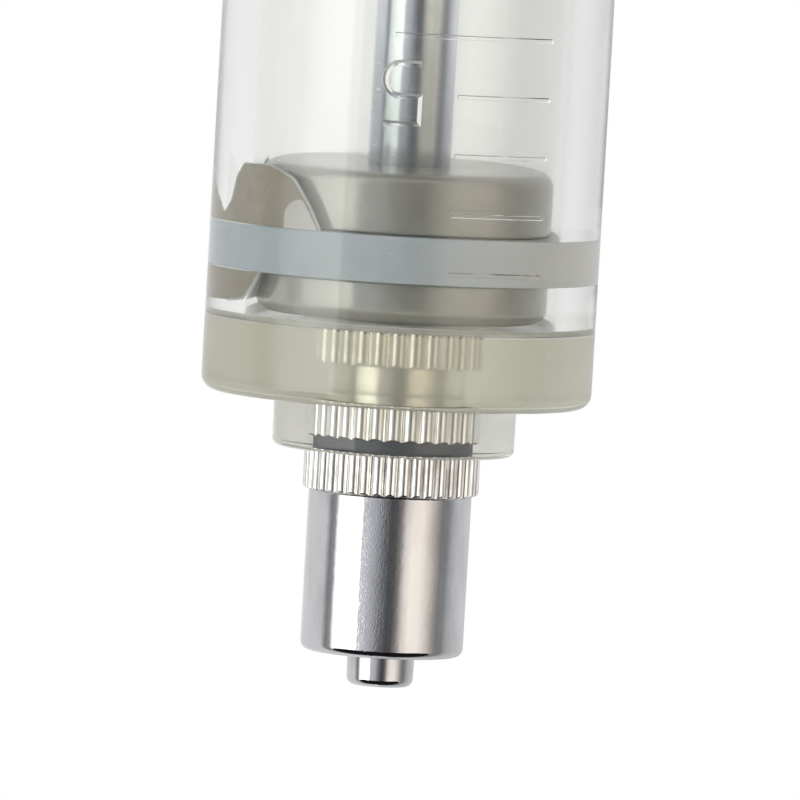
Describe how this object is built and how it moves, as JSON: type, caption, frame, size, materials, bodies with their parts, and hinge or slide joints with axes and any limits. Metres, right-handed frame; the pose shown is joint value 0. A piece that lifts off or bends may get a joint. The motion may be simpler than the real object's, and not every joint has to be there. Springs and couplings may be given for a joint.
{
  "type": "luer-lock syringe",
  "caption": "Clear-barrelled luer-lock syringe with a raised volume scale, plated nozzle and finger grip, and a sealed piston drawn by a rod with a thumb ring.",
  "frame": {"origin": "centre of the end of the luer tip, at the mouth of its lumen", "axes": "+Z along the syringe's axis from the nozzle to the thumb ring, +X along a wing of the finger grip, the scale faces -Y"},
  "size_m": [0.06, 0.0336, 0.1725],
  "materials": {
    "clear_plastic": "clear moulded, faintly milky",
    "nozzle_chrome": "bright plated",
    "bush_plate": "bright nickel plated",
    "dark_washer": "smooth",
    "seal_silicone": "translucent, greased",
    "piston_plastic": "translucent, satin",
    "rod_plate": "plated, lightly worn",
    "grip_chrome": "polished plate",
    "cap_chrome": "polished plate",
    "handle_chrome": "polished plate",
    "guide_plastic": "smooth",
    "gasket_rubber": "smooth",
    "buffer_rubber": "matt"
  },
  "bodies": {
    "barrel": {"barrel": "clear_plastic", "insert_bush": "bush_plate", "nozzle_washer": "dark_washer", "nozzle_body": "nozzle_chrome", "luer_cone": "nozzle_chrome", "lock_collar": "nozzle_chrome", "finger_grip": "grip_chrome", "grip_washer": "gasket_rubber", "head_cap": "cap_chrome", "cap_gasket": "gasket_rubber", "rod_guide": "guide_plastic", "rod_wiper": "gasket_rubber", "wiper_retainer": "cap_chrome"},
    "seal": {"piston_seal": "seal_silicone"},
    "plunger": {"piston_front": "piston_plastic", "piston_rear": "piston_plastic", "plunger_rod": "rod_plate", "buffer_washer": "buffer_rubber", "lock_nut": "handle_chrome", "ring_socket": "handle_chrome", "thumb_ring": "handle_chrome"}
  },
  "joints": [
    {"name": "plunger_slide", "type": "slide", "parent": "barrel", "child": "seal", "axis": [0, 0, 1], "range_m": [-0.0004, 0.07479]},
    {"name": "plunger_turn", "type": "hinge", "parent": "seal", "child": "plunger", "pos_m": [0, 0, 0], "axis": [0, 0, 1], "continuous": true}
  ]
}
